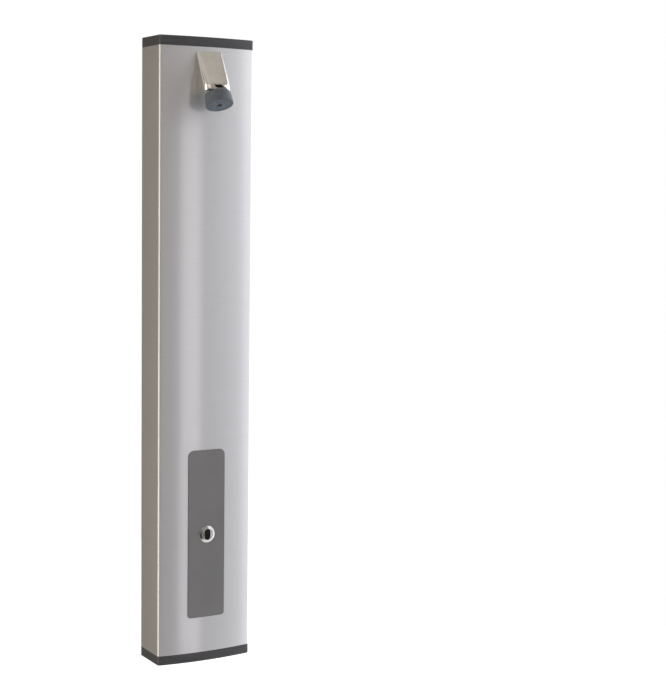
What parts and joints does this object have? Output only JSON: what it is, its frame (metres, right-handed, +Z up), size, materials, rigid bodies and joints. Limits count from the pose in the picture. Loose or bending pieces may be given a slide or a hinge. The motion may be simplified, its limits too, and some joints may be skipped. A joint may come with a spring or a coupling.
{
  "type": "sensor shower panel",
  "caption": "Wall-mounted sensor shower panel: bow-fronted metal casing with moulded end caps, an infrared sensor in a fascia plate and an angled spray head.",
  "frame": {"origin": "centre of the four wall holes, on the wall plane, at mid height of the panel", "axes": "+Z up along the panel, +Y into the wall, +X to the right seen from the front; the front faces -Y"},
  "size_m": [0.196, 0.1582, 1.2],
  "materials": {
    "anodised_aluminium": "satin",
    "cap_moulding": "matte",
    "fascia_finish": "satin anodised grey",
    "satin_steel": "satin",
    "chrome_plate": "polished",
    "spray_moulding": "satin",
    "plated_steel": "zinc plated",
    "brass": "turned",
    "copper": "drawn copper",
    "seal_rubber": "matte",
    "seat_plastic": "smooth",
    "regulator_plastic": "smooth",
    "window_plastic": "polished",
    "black_plastic": "matte",
    "cell_jacket": "printed jacket, plain",
    "board_laminate": "solder mask"
  },
  "bodies": {
    "panel": {"casing": "anodised_aluminium", "top_end_cap": "cap_moulding", "bottom_end_cap": "cap_moulding", "fascia_plate": "fascia_finish", "sensor_bezel": "satin_steel", "core_tube": "satin_steel", "inlet_filter": "satin_steel", "head_body": "chrome_plate", "socket_ring": "chrome_plate", "back_plate": "plated_steel", "hanging_bracket": "plated_steel", "lower_bracket": "plated_steel", "clamp_plate": "plated_steel", "cap_screws": "plated_steel", "locking_screws": "plated_steel", "head_fixing_screws": "plated_steel", "clip_screws": "plated_steel", "bonnet_screws": "plated_steel", "box_screws": "plated_steel", "coil_nut": "plated_steel", "sensor_locknut": "plated_steel", "plunger_spring": "plated_steel", "head_tail": "brass", "head_locknut": "brass", "tail_elbow": "brass", "union_nut": "brass", "compression_nuts": "brass", "inlet_elbow": "brass", "isolating_valve_body": "brass", "ball_retainer": "brass", "gland_nut": "brass", "solenoid_body": "brass", "solenoid_bonnet": "brass", "riser_pipe": "copper", "olives": "copper", "fascia_pad": "seal_rubber", "head_gasket": "seal_rubber", "ball_seal": "seal_rubber", "union_washer": "seal_rubber", "valve_diaphragm": "seal_rubber", "valve_seats": "seat_plastic", "pipe_clips": "seat_plastic", "flow_regulator": "regulator_plastic", "sensor_window": "window_plastic", "sensor_module": "black_plastic", "solenoid_coil": "black_plastic", "control_box": "black_plastic", "box_lid": "black_plastic", "battery_holder": "black_plastic", "solenoid_cable": "black_plastic", "sensor_cable": "black_plastic", "battery_cells": "cell_jacket", "circuit_board": "board_laminate"},
    "spray_head": {"swivel_ball": "brass", "spray_shell": "spray_moulding", "spray_face": "spray_moulding", "face_screw": "plated_steel"},
    "isolator": {"isolating_ball": "brass", "isolating_spindle": "brass"},
    "valve_plunger": {"plunger": "plated_steel"}
  },
  "joints": [
    {"name": "spray_tilt", "type": "hinge", "parent": "panel", "child": "spray_head", "pos_m": [0, -0.1192, 0.5057], "axis": [1, 0, 0], "range_deg": [-2, 14]},
    {"name": "isolator_turn", "type": "hinge", "parent": "panel", "child": "isolator", "pos_m": [-0.06, -0.034, -0.47], "axis": [0, -1, 0], "range_deg": [0, 90]},
    {"name": "plunger_lift", "type": "slide", "parent": "panel", "child": "valve_plunger", "axis": [0, -1, 0], "range_m": [0, 0.002], "stiffness_N_per_m": 300, "springref_m": -0.003, "deforming": ["plunger_spring"]}
  ]
}
